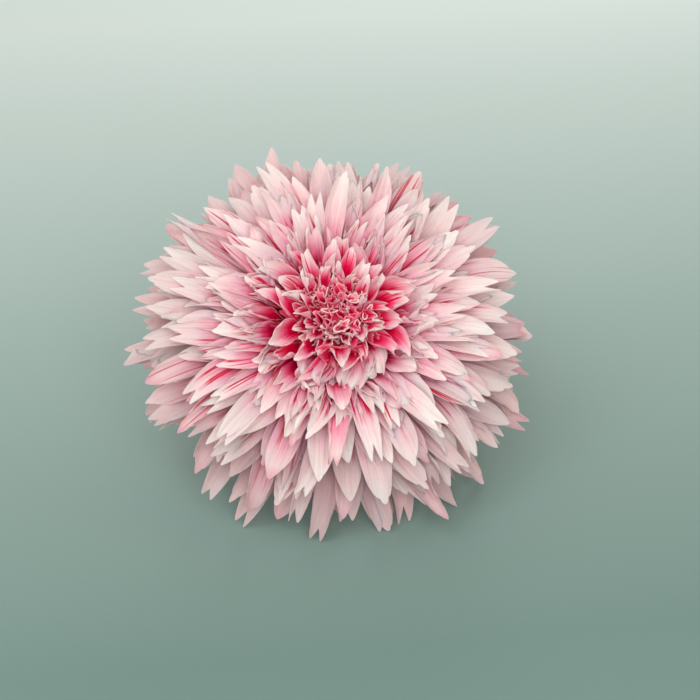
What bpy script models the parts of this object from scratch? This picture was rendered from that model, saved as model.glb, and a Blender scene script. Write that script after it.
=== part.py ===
"""A cut spider chrysanthemum lying on a table: rays on their receptacle, centre florets, calyx and short stem.

Metres, +Z up. The flower is worked out in its own frame, with the receptacle's middle at the origin and
the face looking along +Z, and is then leaned over to rest on its lowest rays and the cut end of its stem.
"""

import math
import random

import bmesh
import bpy
from mathutils import Matrix, Vector

MM = 0.001
SEAT_GAP = 0.3 * MM

# The lean of the flower's axis from the upright towards -Y, and where the middle of its receptacle lies
LEAN = math.radians(40)
BLOOM_CENTRE = Vector((1.65, 1.18, 46.0)) * MM

# The rays: one every golden angle, from the innermost to the outermost
RAY_COUNT = 162
GOLDEN_ANGLE = math.radians(137.508)
RAY_SEED = 1137
RAY_THICKNESS = 1.0 * MM
# Way out from 0 to 1, root radius, root height, length and greatest half width in mm,
# then the angles from the axis at which the ray leaves its root and ends
RAY_LAYERS = (
    (0.00, 15.2, 8.0, 18.5, 3.2, 34, 70),
    (0.10, 15.0, 7.2, 23.0, 3.5, 36, 78),
    (0.30, 13.8, 5.6, 34.0, 4.0, 41, 90),
    (0.50, 12.4, 3.2, 43.5, 4.2, 49, 95),
    (0.70, 10.8, 0.0, 52.0, 4.4, 59, 100),
    (0.85, 9.4, -3.0, 57.5, 4.3, 70, 108),
    (1.00, 8.0, -6.2, 57.0, 4.1, 86, 126),
)
# Where along its length a ray's cross sections are, and the share of the half width there
RAY_STATIONS = ((0.0, 0.30), (0.55, 0.94), (0.84, 0.96))
FORKED_SHARE = 0.4
FORK_DEPTH = 0.10
FORK_SPREAD = 0.50
TOUCH_REACH = 4 * MM

# The receptacle's outline, radius and height in mm, from its flat base up and into the bowl round the centre
RECEPTACLE_OUTLINE = (
    (8.5, -9.6), (11.0, -8.0), (12.6, -3.0), (14.4, 2.5), (16.0, 7.0), (16.2, 9.4), (15.2, 10.4),
    (13.9, 9.8), (13.1, 7.6), (11.4, 6.2),
)
CUSHION_OUTLINE = ((10.6, 6.5), (12.2, 8.0), (12.4, 12.0), (11.0, 16.0), (8.0, 19.0), (4.0, 20.6))
TURNED_SIDES = 24

# The centre florets: flaring tubes that stand out of their cushion; the outer ones are long, wide funnels
# that lean outward
FLORET_COUNT = 54
FLORET_SEED = 77
FLORET_FIELD = 10.6 * MM
FLORET_SIDES = 6
FUNNELS_FROM = 0.82

# The calyx: a turned cup with two rings of bracts round it
CALYX_OUTLINE = ((3.3, -17.5), (7.0, -16.4), (10.0, -14.0), (11.2, -11.4), (10.4, -9.9))
BRACT_SEED = 5
BRACT_THICKNESS = 0.9 * MM
# Number of bracts, half width in mm and start of each ring, then radius and height in mm along a bract
BRACT_RINGS = (
    (11, 3.8, 0.0, ((6.0, -15.8), (9.4, -14.2), (11.8, -11.6), (13.3, -8.6))),
    (9, 3.5, 0.5, ((4.6, -16.7), (8.1, -16.0), (10.7, -14.3), (12.6, -12.0))),
)

# The stem, its ribs and the slant of its cut
STEM_RADIUS = 2.7 * MM
STEM_SIDES = 20
STEM_RIBS = 5
STEM_RIB_DEPTH = 0.16 * MM
STEM_SWAY = Vector((3.0, -1.5)) * MM
STEM_RINGS = 9
CUT_SLOPE = 0.45


def lean_matrix():
    """From the flower's own frame to the world."""
    return Matrix.Translation(BLOOM_CENTRE) @ Matrix.Rotation(LEAN, 4, "X")


def layer_value(way_out, column):
    """A value of RAY_LAYERS at this way out, on the straight line between its rows."""
    for low, high in zip(RAY_LAYERS, RAY_LAYERS[1:]):
        if way_out <= high[0]:
            share = (way_out - low[0]) / (high[0] - low[0])
            return low[column] + (high[column] - low[column]) * share
    return RAY_LAYERS[-1][column]


def ray_form(number):
    """The numbers that make one ray: its layer's values with its own small differences."""
    draw = random.Random(RAY_SEED + number)
    way_out = number / (RAY_COUNT - 1)
    lean_off = draw.gauss(0, 3.0)
    return {
        "azimuth": number * GOLDEN_ANGLE + math.radians(draw.gauss(0, 1.6)),
        "root_radius": layer_value(way_out, 1) * MM,
        "root_height": layer_value(way_out, 2) * MM,
        "length": layer_value(way_out, 3) * MM * (1 + max(-0.12, min(0.12, draw.gauss(0, 0.05)))),
        "half_width": layer_value(way_out, 4) * MM * draw.uniform(0.86, 1.12),
        "start": math.radians(layer_value(way_out, 5) + lean_off),
        "end": math.radians(layer_value(way_out, 6) + lean_off + draw.gauss(0, 5)),
        "sway": math.radians(draw.gauss(0, 4.5)),
        "twist": math.radians(draw.gauss(0, 13)),
        "cup": draw.uniform(0.18, 0.36) + 0.15 * max(0.0, 1 - way_out / 0.15),
        "forked": draw.random() < FORKED_SHARE,
    }


def ray_spine(form, lift, steps=24):
    """Points along a ray's middle line with its direction's angle from the axis, in the flower's frame."""
    radius = form["root_radius"]
    height = form["root_height"]
    points = []
    for step in range(steps + 1):
        along = step / steps
        angle = form["start"] + (form["end"] - form["start"]) * along - lift
        points.append((along, radius, height, angle))
        radius += math.sin(angle) * form["length"] / steps
        height += math.cos(angle) * form["length"] / steps
    return points


def ray_frame(form, spine, along):
    """Place, side direction and upper normal of a ray at a share of its length."""
    step = min(int(along * (len(spine) - 1)), len(spine) - 2)
    low, high = spine[step], spine[step + 1]
    share = (along - low[0]) / (high[0] - low[0])
    radius, height, angle = (a + (b - a) * share for a, b in zip(low[1:], high[1:]))
    azimuth = form["azimuth"] + form["sway"] * along * along
    outward = Vector((math.cos(azimuth), math.sin(azimuth), 0))
    place = outward * radius + Vector((0, 0, height))
    side = Vector((-math.sin(azimuth), math.cos(azimuth), 0))
    normal = Vector((0, 0, math.sin(angle))) - outward * math.cos(angle)
    along_ray = outward * math.sin(angle) + Vector((0, 0, math.cos(angle)))
    turn = Matrix.Rotation(form["twist"] * along, 3, along_ray)
    return place, turn @ side, turn @ normal, along_ray


def ray_mesh(form, lift):
    """Vertices and triangles of one ray: a shallow V in cross section, with a pointed or a forked tip."""
    spine = ray_spine(form, lift)
    vertices = []
    for along, share in RAY_STATIONS:
        place, side, normal, _ = ray_frame(form, spine, along)
        half = form["half_width"] * share
        rise = normal * form["cup"] * half
        body = normal * RAY_THICKNESS / 2
        vertices += [place - side * half + rise, place + body, place + side * half + rise, place - body]
    faces = [(0, 1, 3), (1, 2, 3)]
    for ring in range(len(RAY_STATIONS) - 1):
        a, b = 4 * ring, 4 * ring + 4
        # Both faces of the blade are split alike, from its edges
        for edge, middle in ((0, 1), (2, 3)):
            faces += [(a + edge, b + middle, a + middle), (a + edge, b + edge, b + middle)]
        for edge, middle in ((2, 1), (0, 3)):
            faces += [(a + edge, a + middle, b + middle), (a + edge, b + middle, b + edge)]
    last = 4 * (len(RAY_STATIONS) - 1)
    left, top, right, under = range(last, last + 4)
    tip, side, normal, along_ray = ray_frame(form, spine, 1.0)
    if form["forked"]:
        spread = side * form["half_width"] * FORK_SPREAD
        fork = tip - along_ray * form["length"] * FORK_DEPTH
        body = normal * RAY_THICKNESS * 0.35
        first = len(vertices)
        vertices += [tip - spread, tip + spread, fork + body, fork - body]
        left_tip, right_tip, fork_top, fork_under = range(first, first + 4)
        faces += [
            (left, fork_top, top), (left, left_tip, fork_top),
            (right, top, fork_top), (right, fork_top, right_tip),
            (left, under, fork_under), (left, fork_under, left_tip),
            (right, fork_under, under), (right, right_tip, fork_under),
            (left_tip, fork_under, fork_top), (right_tip, fork_top, fork_under),
        ]
    else:
        vertices.append(tip)
        point = len(vertices) - 1
        faces += [(left, point, top), (top, point, right), (right, point, under), (under, point, left)]
    return vertices, faces


def lowest(vertices, matrix):
    return min((matrix @ v).z for v in vertices)


def rested_ray(form, matrix):
    """The ray's mesh, turned at its root to touch the table where it would end below or just above it."""
    height = lowest(ray_mesh(form, 0.0)[0], matrix)
    if height > TOUCH_REACH:
        return ray_mesh(form, 0.0)
    low, high = (0.0, math.radians(60)) if height < 0 else (math.radians(-20), 0.0)
    for _ in range(30):
        lift = (low + high) / 2
        if lowest(ray_mesh(form, lift)[0], matrix) < 0:
            low = lift
        else:
            high = lift
    return ray_mesh(form, high)


def turned(outline, sides, top_point=None):
    """A solid turned round the axis from an outline in mm from bottom to top, its top flat or pointed."""
    vertices = []
    for radius, height in outline:
        for k in range(sides):
            angle = 2 * math.pi * k / sides
            vertices.append(Vector((radius * math.cos(angle), radius * math.sin(angle), height)) * MM)
    faces = []
    for ring in range(len(outline) - 1):
        for k in range(sides):
            a, b = ring * sides + k, ring * sides + (k + 1) % sides
            faces += [(a, b, b + sides), (a, b + sides, a + sides)]
    last = (len(outline) - 1) * sides
    vertices.append(Vector((0, 0, outline[0][1])) * MM)
    vertices.append(Vector((0, 0, outline[-1][1] if top_point is None else top_point)) * MM)
    under, over = len(vertices) - 2, len(vertices) - 1
    for k in range(sides):
        faces.append((under, (k + 1) % sides, k))
        faces.append((over, last + k, last + (k + 1) % sides))
    return vertices, faces


def floret_mesh(number):
    """One centre floret: a flaring tube with a ragged, sunk mouth, standing on the cushion."""
    draw = random.Random(FLORET_SEED + number)
    way_out = math.sqrt((number + 0.5) / FLORET_COUNT)
    funnel = max(0.0, (way_out - FUNNELS_FROM) / (1 - FUNNELS_FROM)) ** 0.5
    azimuth = number * GOLDEN_ANGLE
    tilt = math.radians(54) * way_out ** 2 + math.radians(draw.gauss(0, 7))
    outward = Vector((math.cos(azimuth), math.sin(azimuth), 0))
    foot = outward * FLORET_FIELD * way_out + Vector((0, 0, (18.8 - 5.6 * way_out ** 2.6) * MM))
    axis = (Vector((0, 0, math.cos(tilt))) + outward * math.sin(tilt)).normalized()
    side = Vector((-math.sin(azimuth), math.cos(azimuth), 0))
    front = axis.cross(side)
    height = draw.uniform(4.8, 7.4) * MM * (1 + 0.75 * funnel)
    mouth = draw.uniform(1.5, 2.0) * MM * (1 + 0.95 * funnel)
    turn = draw.uniform(0, math.tau)
    vertices = []
    for level, ring_radius in ((0.0, 0.85 * MM), (0.55, 1.0 * MM * (1 + 0.5 * funnel)), (1.0, mouth)):
        for k in range(FLORET_SIDES):
            angle = turn + math.tau * k / FLORET_SIDES
            ragged = draw.uniform(0.68, 1.25) if level == 1.0 else 1.0
            spoke = (side * math.cos(angle) + front * math.sin(angle)) * ring_radius * ragged
            vertices.append(foot + axis * height * level * (1 + 0.35 * (ragged - 1)) + spoke)
    vertices += [foot, foot + axis * height * 0.5]
    foot_at, throat = len(vertices) - 2, len(vertices) - 1
    faces = []
    for ring in range(2):
        for k in range(FLORET_SIDES):
            a, b = ring * FLORET_SIDES + k, ring * FLORET_SIDES + (k + 1) % FLORET_SIDES
            faces += [(a, b, b + FLORET_SIDES), (a, b + FLORET_SIDES, a + FLORET_SIDES)]
    top = 2 * FLORET_SIDES
    for k in range(FLORET_SIDES):
        faces.append((foot_at, (k + 1) % FLORET_SIDES, k))
        faces.append((throat, top + k, top + (k + 1) % FLORET_SIDES))
    return vertices, faces


def bract_mesh(draw, azimuth, half_width, line):
    """One green bract: a short pointed scale lying against the cup, its tip standing off a little."""
    azimuth += math.radians(draw.uniform(-3, 3))
    half_width *= draw.uniform(0.9, 1.1) * MM
    raised = draw.uniform(0.96, 1.05)
    outward = Vector((math.cos(azimuth), math.sin(azimuth), 0))
    side = Vector((-math.sin(azimuth), math.cos(azimuth), 0))
    normal = (outward * 0.62 - Vector((0, 0, 0.78))) * BRACT_THICKNESS / 2
    vertices = []
    for (radius, height), share in zip(line, (0.7, 1.0, 0.75, 0.0)):
        place = (outward * radius * raised + Vector((0, 0, height))) * MM
        half = side * half_width * share
        vertices += [place - half, place - normal, place + half, place + normal] if share else [place]
    faces = [(0, 1, 3), (1, 2, 3)]
    for ring in (0, 4):
        for k in range(4):
            a, b = ring + k, ring + (k + 1) % 4
            faces += [(a, a + 4, b + 4), (a, b + 4, b)]
    faces += [(8 + k, 12, 8 + (k + 1) % 4) for k in range(4)]
    return vertices, faces


def stem_rings(end_height):
    """The stem's rings of points, from the calyx to the slanted cut, in the flower's frame."""
    top_height = -17.5 * MM - SEAT_GAP
    rings = []
    for ring in range(STEM_RINGS):
        share = ring / (STEM_RINGS - 1)
        sway = STEM_SWAY * share * share
        flare = 1 + 0.16 * max(0.0, 1 - share * 5)
        points = []
        for k in range(STEM_SIDES):
            angle = math.tau * k / STEM_SIDES
            radius = STEM_RADIUS * flare + STEM_RIB_DEPTH * math.cos(STEM_RIBS * angle)
            x, y = radius * math.cos(angle), radius * math.sin(angle)
            height = top_height + (end_height - top_height) * share + CUT_SLOPE * y * share ** 6
            points.append(Vector((x + sway.x, y + sway.y, height)))
        rings.append(points)
    return rings


def stem_mesh(matrix):
    """The stem, as long as it must be for the lowest edge of its cut end to meet the table."""
    guess = -60 * MM
    rings = stem_rings(guess)
    rings = stem_rings(guess - lowest(rings[-1], matrix) / math.cos(LEAN))
    vertices = [point for ring in rings for point in ring]
    faces = []
    for ring in range(STEM_RINGS - 1):
        for k in range(STEM_SIDES):
            a, b = ring * STEM_SIDES + k, ring * STEM_SIDES + (k + 1) % STEM_SIDES
            faces += [(a, a + STEM_SIDES, b + STEM_SIDES), (a, b + STEM_SIDES, b)]
    vertices.append(sum(rings[0], Vector()) / STEM_SIDES)
    vertices.append(sum(rings[-1], Vector()) / STEM_SIDES)
    top, end = len(vertices) - 2, len(vertices) - 1
    last = (STEM_RINGS - 1) * STEM_SIDES
    for k in range(STEM_SIDES):
        faces.append((top, k, (k + 1) % STEM_SIDES))
        faces.append((end, last + (k + 1) % STEM_SIDES, last + k))
    return vertices, faces


def finish(name, colour, roughness):
    material = bpy.data.materials.new(name)
    material.use_nodes = True
    shader = material.node_tree.nodes["Principled BSDF"]
    shader.inputs["Base Color"].default_value = (*colour, 1)
    shader.inputs["Roughness"].default_value = roughness
    shader.inputs["Metallic"].default_value = 0.0
    return material


def solid(name, mesh_data, matrix, collection=None):
    """A named object from vertices in the flower's frame."""
    vertices, faces = mesh_data
    mesh = bpy.data.meshes.new(name)
    mesh.from_pydata([matrix @ v for v in vertices], [], faces)
    mesh.update()
    thing = bpy.data.objects.new(name, mesh)
    (collection or bpy.context.scene.collection).objects.link(thing)
    return thing


def dress(thing, material, sharp_degrees):
    """Gives a piece its material and smooth shading with its sharp edges kept."""
    thing.data.materials.clear()
    thing.data.materials.append(material)
    thing.data.shade_smooth()
    thing.data.set_sharp_from_angle(angle=math.radians(sharp_degrees))


def keep_outer_skin(mesh):
    """Leaves only the largest connected skin, which fills sealed hollows and drops loose scraps."""
    work = bmesh.new()
    work.from_mesh(mesh)
    unseen = set(work.verts)
    skins = []
    while unseen:
        skin = []
        edge = [unseen.pop()]
        while edge:
            vertex = edge.pop()
            skin.append(vertex)
            near = {link.other_vert(vertex) for link in vertex.link_edges} & unseen
            unseen -= near
            edge += near
        skins.append(skin)
    skins.sort(key=len)
    bmesh.ops.delete(work, geom=[vertex for skin in skins[:-1] for vertex in skin], context="VERTS")
    work.to_mesh(mesh)
    work.free()


def fuse(base, repeats, matrix, material):
    """Joins the repeats to what they grow from, in one Boolean union on a collection."""
    group = bpy.data.collections.new(base.name + "_repeats")
    bpy.context.scene.collection.children.link(group)
    for number, mesh_data in enumerate(repeats):
        solid(f"{base.name}_{number}", mesh_data, matrix, group)
    union = base.modifiers.new("union", "BOOLEAN")
    union.operation = "UNION"
    union.solver = "EXACT"
    union.operand_type = "COLLECTION"
    union.collection = group
    bpy.context.view_layer.update()
    made = bpy.data.meshes.new_from_object(base.evaluated_get(bpy.context.evaluated_depsgraph_get()))
    base.modifiers.clear()
    keep_outer_skin(made)
    base.data = made
    for thing in list(group.objects):
        bpy.data.objects.remove(thing)
    bpy.data.collections.remove(group)
    dress(base, material, 30)


def main():
    for thing in list(bpy.data.objects):
        bpy.data.objects.remove(thing)
    matrix = lean_matrix()

    rays = [rested_ray(ray_form(number), matrix) for number in range(RAY_COUNT)]
    receptacle = solid("ray_petals", turned(RECEPTACLE_OUTLINE, TURNED_SIDES), matrix)
    fuse(receptacle, rays, matrix, finish("petal_pink", (0.83, 0.47, 0.52), 0.55))

    cushion = solid("centre_florets", turned(CUSHION_OUTLINE, TURNED_SIDES, top_point=21.0), matrix)
    florets = [floret_mesh(number) for number in range(FLORET_COUNT)]
    fuse(cushion, florets, matrix, finish("floret_coral", (0.62, 0.16, 0.22), 0.5))

    cup = solid("calyx", turned(CALYX_OUTLINE, TURNED_SIDES), matrix)
    draw = random.Random(BRACT_SEED)
    bracts = [
        bract_mesh(draw, math.tau * (k + offset) / count, half_width, line)
        for count, half_width, offset, line in BRACT_RINGS
        for k in range(count)
    ]
    green = finish("leaf_green", (0.11, 0.21, 0.05), 0.6)
    fuse(cup, bracts, matrix, green)

    stem = solid("stem", stem_mesh(matrix), matrix)
    dress(stem, green, 50)


main()
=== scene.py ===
"""A cut chrysanthemum bloom, dressed over its plain solids: stem, calyx, receptacle, rays and centre florets.

Metres, +Z up, in the plain part's frame. The bloom faces -Y and upward, and it lies on its lowest rays and
the end of its stem.
"""
import math
import random

import bpy
import numpy as np
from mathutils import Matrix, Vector


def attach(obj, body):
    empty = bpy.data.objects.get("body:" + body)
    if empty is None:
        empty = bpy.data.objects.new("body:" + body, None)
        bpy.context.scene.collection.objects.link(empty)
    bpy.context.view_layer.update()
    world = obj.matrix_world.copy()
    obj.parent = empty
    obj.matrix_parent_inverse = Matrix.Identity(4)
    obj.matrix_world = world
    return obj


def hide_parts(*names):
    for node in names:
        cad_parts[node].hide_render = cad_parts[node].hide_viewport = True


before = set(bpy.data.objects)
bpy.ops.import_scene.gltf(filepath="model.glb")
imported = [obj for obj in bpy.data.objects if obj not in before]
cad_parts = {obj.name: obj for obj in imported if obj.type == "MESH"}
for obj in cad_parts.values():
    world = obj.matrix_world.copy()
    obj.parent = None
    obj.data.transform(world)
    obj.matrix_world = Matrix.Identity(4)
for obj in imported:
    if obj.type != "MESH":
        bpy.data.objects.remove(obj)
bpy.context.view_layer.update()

# THE STEM
# A short piece of the flower's own ribbed green stalk, cut on a slant with a knife. It is soft tissue round
# a pale pith, with a thin grey-green skin and fine white down, and it grows straight out of the calyx.
MM = 0.001
# The lean of the flower's axis from the upright towards -Y, and where the middle of its receptacle lies
LEAN = math.radians(40)
BLOOM_CENTRE = np.array((1.65, 1.18, 46.0)) * MM
STEM_RADIUS = 2.7 * MM
STEM_RIBS = 5
STEM_RIB_DEPTH = 0.16 * MM
STEM_SWAY = np.array((3.0, -1.5)) * MM
# The stem starts 0.3 mm under the calyx's base, and its cut face has rings at these shares of its edge
STEM_TOP = -17.5 * MM - 0.3 * MM
CUT_SLOPE = 0.45
CUT_RINGS = (0.9, 0.72, 0.5, 0.25)
STEM_SIDES, STEM_STEPS = 60, 70
DOWN_HAIRS = 900
SHARP_EDGE = math.radians(62)


def placed(points):
    """Points of the flower's own frame, its axis along +Z, leaned over and put where the bloom lies."""
    points = np.asarray(points, dtype=float)
    y = points[..., 1] * math.cos(LEAN) - points[..., 2] * math.sin(LEAN)
    z = points[..., 1] * math.sin(LEAN) + points[..., 2] * math.cos(LEAN)
    return np.stack((points[..., 0], y, z), axis=-1) + BLOOM_CENTRE


def colour(hex_code):
    """An sRGB hex colour as the linear RGBA that a shader takes."""
    values = [int(hex_code[k:k + 2], 16) / 255 for k in (1, 3, 5)]
    return tuple(c / 12.92 if c <= 0.04045 else ((c + 0.055) / 1.055) ** 2.4 for c in values) + (1.0,)


def node(material, kind, links=None, stops=None, **settings):
    """Adds a shader node. Links feed its inputs, a node by its first output. Stops are a ramp's colours."""
    made = material.node_tree.nodes.new("ShaderNode" + kind)
    for name, value in settings.items():
        setattr(made, name, value)
    for place, (position, hex_code) in enumerate(stops or ()):
        while len(made.color_ramp.elements) <= place:
            made.color_ramp.elements.new(1.0)
        made.color_ramp.elements[place].position = position
        made.color_ramp.elements[place].color = colour(hex_code)
    for socket, source in (links or {}).items():
        source = source.outputs[0] if isinstance(source, bpy.types.Node) else source
        if isinstance(source, bpy.types.NodeSocket):
            material.node_tree.links.new(source, made.inputs[socket])
        else:
            made.inputs[socket].default_value = source
    return made


def new_material(name):
    """An empty node material."""
    material = bpy.data.materials.new(name)
    material.use_nodes = True
    return material


def finish_material(material, colour_from, bump_from, plain_values):
    """Joins a material's colour and bump to its shader, and gives the other sockets their plain values."""
    shader = material.node_tree.nodes["Principled BSDF"]
    material.node_tree.links.new(colour_from, shader.inputs["Base Color"])
    if bump_from:
        material.node_tree.links.new(bump_from, shader.inputs["Normal"])
    for socket, value in plain_values.items():
        shader.inputs[socket].default_value = value


def new_piece(name, points, faces, material, values=None, charts=None):
    """A mesh piece, smooth but for sharp rims. Values are vectors by point, charts a flat map by corner."""
    mesh = bpy.data.meshes.new(name)
    mesh.from_pydata([tuple(p) for p in points], [], [tuple(f) for f in faces])
    for value_name, rows in (values or {}).items():
        layer = mesh.attributes.new(value_name, "FLOAT_VECTOR", "POINT")
        layer.data.foreach_set("vector", np.asarray(rows, dtype=np.float32).ravel())
    if charts is not None:
        mesh.uv_layers.new(name="OFBake").data.foreach_set("uv", np.asarray(charts, dtype=np.float32).ravel())
    mesh.materials.append(material)
    mesh.shade_smooth()
    mesh.set_sharp_from_angle(angle=SHARP_EDGE)
    piece = bpy.data.objects.new(name, mesh)
    bpy.context.scene.collection.objects.link(piece)
    return piece


def stem_ring(share, end_height, angles):
    """One ring round the stem in the flower's frame: ribbed, and a little wider by the calyx."""
    flare = 1 + 0.16 * max(0.0, 1 - share * 5)
    radius = STEM_RADIUS * flare + STEM_RIB_DEPTH * np.cos(STEM_RIBS * angles)
    x, y = radius * np.cos(angles), radius * np.sin(angles)
    height = STEM_TOP + (end_height - STEM_TOP) * share + CUT_SLOPE * y * share ** 6
    return np.stack((x + STEM_SWAY[0] * share ** 2, y + STEM_SWAY[1] * share ** 2, height), axis=-1)


def ring_faces(rings, sides, downward=False):
    """The faces of a skin through rings of points that go up, or down, closed at both ends."""
    faces = []
    for a in range(0, (rings - 1) * sides, sides):
        for k in range(sides):
            b, turn = a + sides, (k + 1) % sides
            side = (a + k, a + turn, b + turn, b + k)
            faces.append((side[0], side[3], side[2], side[1]) if downward else side)
    for cap in (reversed(range(sides)), range((rings - 1) * sides, rings * sides)):
        faces.append(tuple(reversed(tuple(cap))) if downward else tuple(cap))
    return faces


# The stem is as long as the plain solid's, whose cut has 20 corners, the lowest of them on the table
stem_angles = np.arange(STEM_SIDES) * math.tau / STEM_SIDES
stem_end = -60 * MM
stem_end -= placed(stem_ring(1.0, stem_end, np.arange(20) * math.tau / 20))[:, 2].min() / math.cos(LEAN)
stem_draw = random.Random(31)
stem_points, stem_marks = [], []
for step in range(STEM_STEPS + 1):
    ring = stem_ring(step / STEM_STEPS, stem_end, stem_angles)
    wobble = np.array([stem_draw.uniform(-1, 1) for _ in stem_angles]) * 0.015 * MM * (0 < step < STEM_STEPS)
    wobble -= 0.02 * MM * (step < STEM_STEPS)
    ring[:, 0] += wobble * np.cos(stem_angles)
    ring[:, 1] += wobble * np.sin(stem_angles)
    stem_points.append(ring)
    stem_marks += [(0.0, step / STEM_STEPS, 1.0)] * STEM_SIDES
cut = stem_points[-1]
for inset in CUT_RINGS:
    stem_points.append(cut.mean(axis=0) + (cut - cut.mean(axis=0)) * inset)
    stem_marks += [(1.0, 1.0, inset)] * STEM_SIDES
stem_faces = ring_faces(len(stem_points), STEM_SIDES, downward=True)
stem_points = list(placed(np.concatenate(stem_points)))

# Fine white down stands on the stem: tapering hairs up to 0.5 mm long, thickened to 0.035 mm to show
up = np.array((0.0, 0.0, 1.0))
for _ in range(DOWN_HAIRS):
    share, angle = stem_draw.uniform(0.02, 0.97), stem_draw.uniform(0, math.tau)
    root = stem_ring(share, stem_end, np.array([angle]))[0]
    out = np.array((math.cos(angle), math.sin(angle), stem_draw.uniform(-0.5, 0.3)))
    across = np.array((-math.sin(angle), math.cos(angle), 0.0))
    tip = root + out * stem_draw.uniform(0.25, 0.5) * MM + across * stem_draw.uniform(-0.15, 0.15) * MM
    foot = len(stem_points)
    root = root - out * 0.05 * MM
    for turn in (0, 120, 240):
        spoke = across * math.cos(math.radians(turn)) + up * math.sin(math.radians(turn))
        stem_points.append(placed(root + spoke * 0.02 * MM))
    stem_points.append(placed(tip))
    stem_marks += [(0.5, share, 1.0)] * 4
    stem_faces += [(foot, foot + 1, foot + 3), (foot + 1, foot + 2, foot + 3), (foot + 2, foot, foot + 3)]
    stem_faces.append((foot + 2, foot + 1, foot))

# Green stalk skin: waxy living cells that give a soft sheen, mottled in patches about 1.2 mm wide, with a
# pale wet pith where it is cut. The cells' bumps are drawn 0.25 mm wide, coarser than real cells, so that
# they show
stalk = new_material("green_stalk_skin")
stalk_mark = node(stalk, "Attribute", attribute_name="stem_mark")
stalk_parts = node(stalk, "SeparateXYZ", {0: stalk_mark.outputs["Vector"]})
stalk_place = node(stalk, "TexCoord")
stalk_mottle = node(stalk, "TexNoise", {
    "Vector": stalk_place.outputs["Object"], "Scale": 1 / (1.2 * MM), "Detail": 4.0, "Roughness": 0.6})
stalk_green = node(stalk, "ValToRGB", {0: stalk_mottle}, stops=(
    (0.30, "#4E6A2C"), (0.50, "#668342"), (0.72, "#8AA05E")))
stalk_cut = node(stalk, "Math", {0: stalk_parts.outputs[0], 1: 0.75}, operation="GREATER_THAN")
stalk_pith = node(stalk, "ValToRGB", {0: stalk_parts.outputs[2]}, stops=(
    (0.20, "#E9E8CF"), (0.66, "#D5DAAE"), (0.86, "#7F9850")))
stalk_skin = node(stalk, "Mix", {0: stalk_cut, 6: stalk_green, 7: stalk_pith}, data_type="RGBA")
stalk_hair = node(stalk, "Math", {0: stalk_parts.outputs[0], 1: 0.5, 2: 0.2}, operation="COMPARE")
stalk_colour = node(stalk, "Mix", {
    0: stalk_hair, 6: stalk_skin.outputs[2], 7: colour("#DDE3CB")}, data_type="RGBA")
stalk_cells = node(stalk, "TexNoise", {
    "Vector": stalk_place.outputs["Object"], "Scale": 1 / (0.25 * MM), "Detail": 3.0})
stalk_bump = node(stalk, "Bump", {"Height": stalk_cells, "Strength": 0.35, "Distance": 0.1 * MM})
finish_material(stalk, stalk_colour.outputs[2], stalk_bump.outputs[0], {
    "Roughness": 0.52, "IOR": 1.42, "Subsurface Weight": 0.12, "Subsurface Radius": (0.6, 1.0, 0.3),
    "Subsurface Scale": 0.6 * MM})

stem = new_piece("stem_stalk", stem_points, stem_faces, stalk, {"stem_mark": stem_marks})
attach(stem, "root")
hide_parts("stem")

# THE CALYX
# The green cup under the bloom: a short round base with two rings of pointed bracts laid over it like
# tiles. Each is a leathery scale with a raised keel and a thin, pale, papery edge, grown out of the cup.
TURNED_SIDES = 72
CALYX_OUTLINE = ((3.3, -17.5), (7.0, -16.4), (10.0, -14.0), (11.2, -11.4), (10.4, -9.9))
# Number of bracts, half width in mm and start of each ring, then radius and height in mm along a bract
BRACT_RINGS = (
    (11, 3.8, 0.0, ((6.0, -15.8), (9.4, -14.2), (11.8, -11.6), (13.3, -8.6))),
    (9, 3.5, 0.5, ((4.6, -16.7), (8.1, -16.0), (10.7, -14.3), (12.6, -12.0))),
)
BRACT_THICKNESS = 0.9 * MM
BRACT_ROWS, BRACT_COLUMNS = 18, 10


def turned_grid(outline):
    """A solid turned round the flower's axis from an outline in mm, closed at both ends: points and faces."""
    angles = np.arange(TURNED_SIDES) * math.tau / TURNED_SIDES
    rings = [(r * np.cos(angles), r * np.sin(angles), np.full_like(angles, h)) for r, h in outline]
    points = [np.stack(ring, axis=-1) * MM for ring in rings]
    return np.concatenate(points), ring_faces(len(outline), TURNED_SIDES)


def shell_faces(rows, columns):
    """The faces of a thin closed shell: an upper and an under grid of points, joined round their rim."""
    wide, under = columns + 1, (rows + 1) * (columns + 1)
    faces = []
    for r in range(rows):
        for c in range(columns):
            a = r * wide + c
            faces.append((a, a + 1, a + wide + 1, a + wide))
            faces.append((under + a, under + a + wide, under + a + wide + 1, under + a + 1))
    for c in range(columns):
        a, b = c, rows * wide + c
        faces.append((a + 1, a, under + a, under + a + 1))
        faces.append((b, b + 1, under + b + 1, under + b))
    for r in range(rows):
        a, b = r * wide, r * wide + columns
        faces.append((a, a + wide, under + a + wide, under + a))
        faces.append((b + wide, b, under + b, under + b + wide))
    return faces


def shell_points(middle, facing, thickness):
    """The upper and under points of a thin shell round a grid of middle points."""
    across = np.gradient(middle, axis=1)
    along = np.gradient(middle, axis=0)
    normal = np.cross(across, along)
    normal /= np.maximum(np.linalg.norm(normal, axis=-1, keepdims=True), 1e-12)
    normal *= np.sign((normal * facing).sum(axis=-1, keepdims=True) + 1e-9)
    half = normal * thickness[..., None] / 2
    return np.concatenate(((middle + half).reshape(-1, 3), (middle - half).reshape(-1, 3)))


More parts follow.
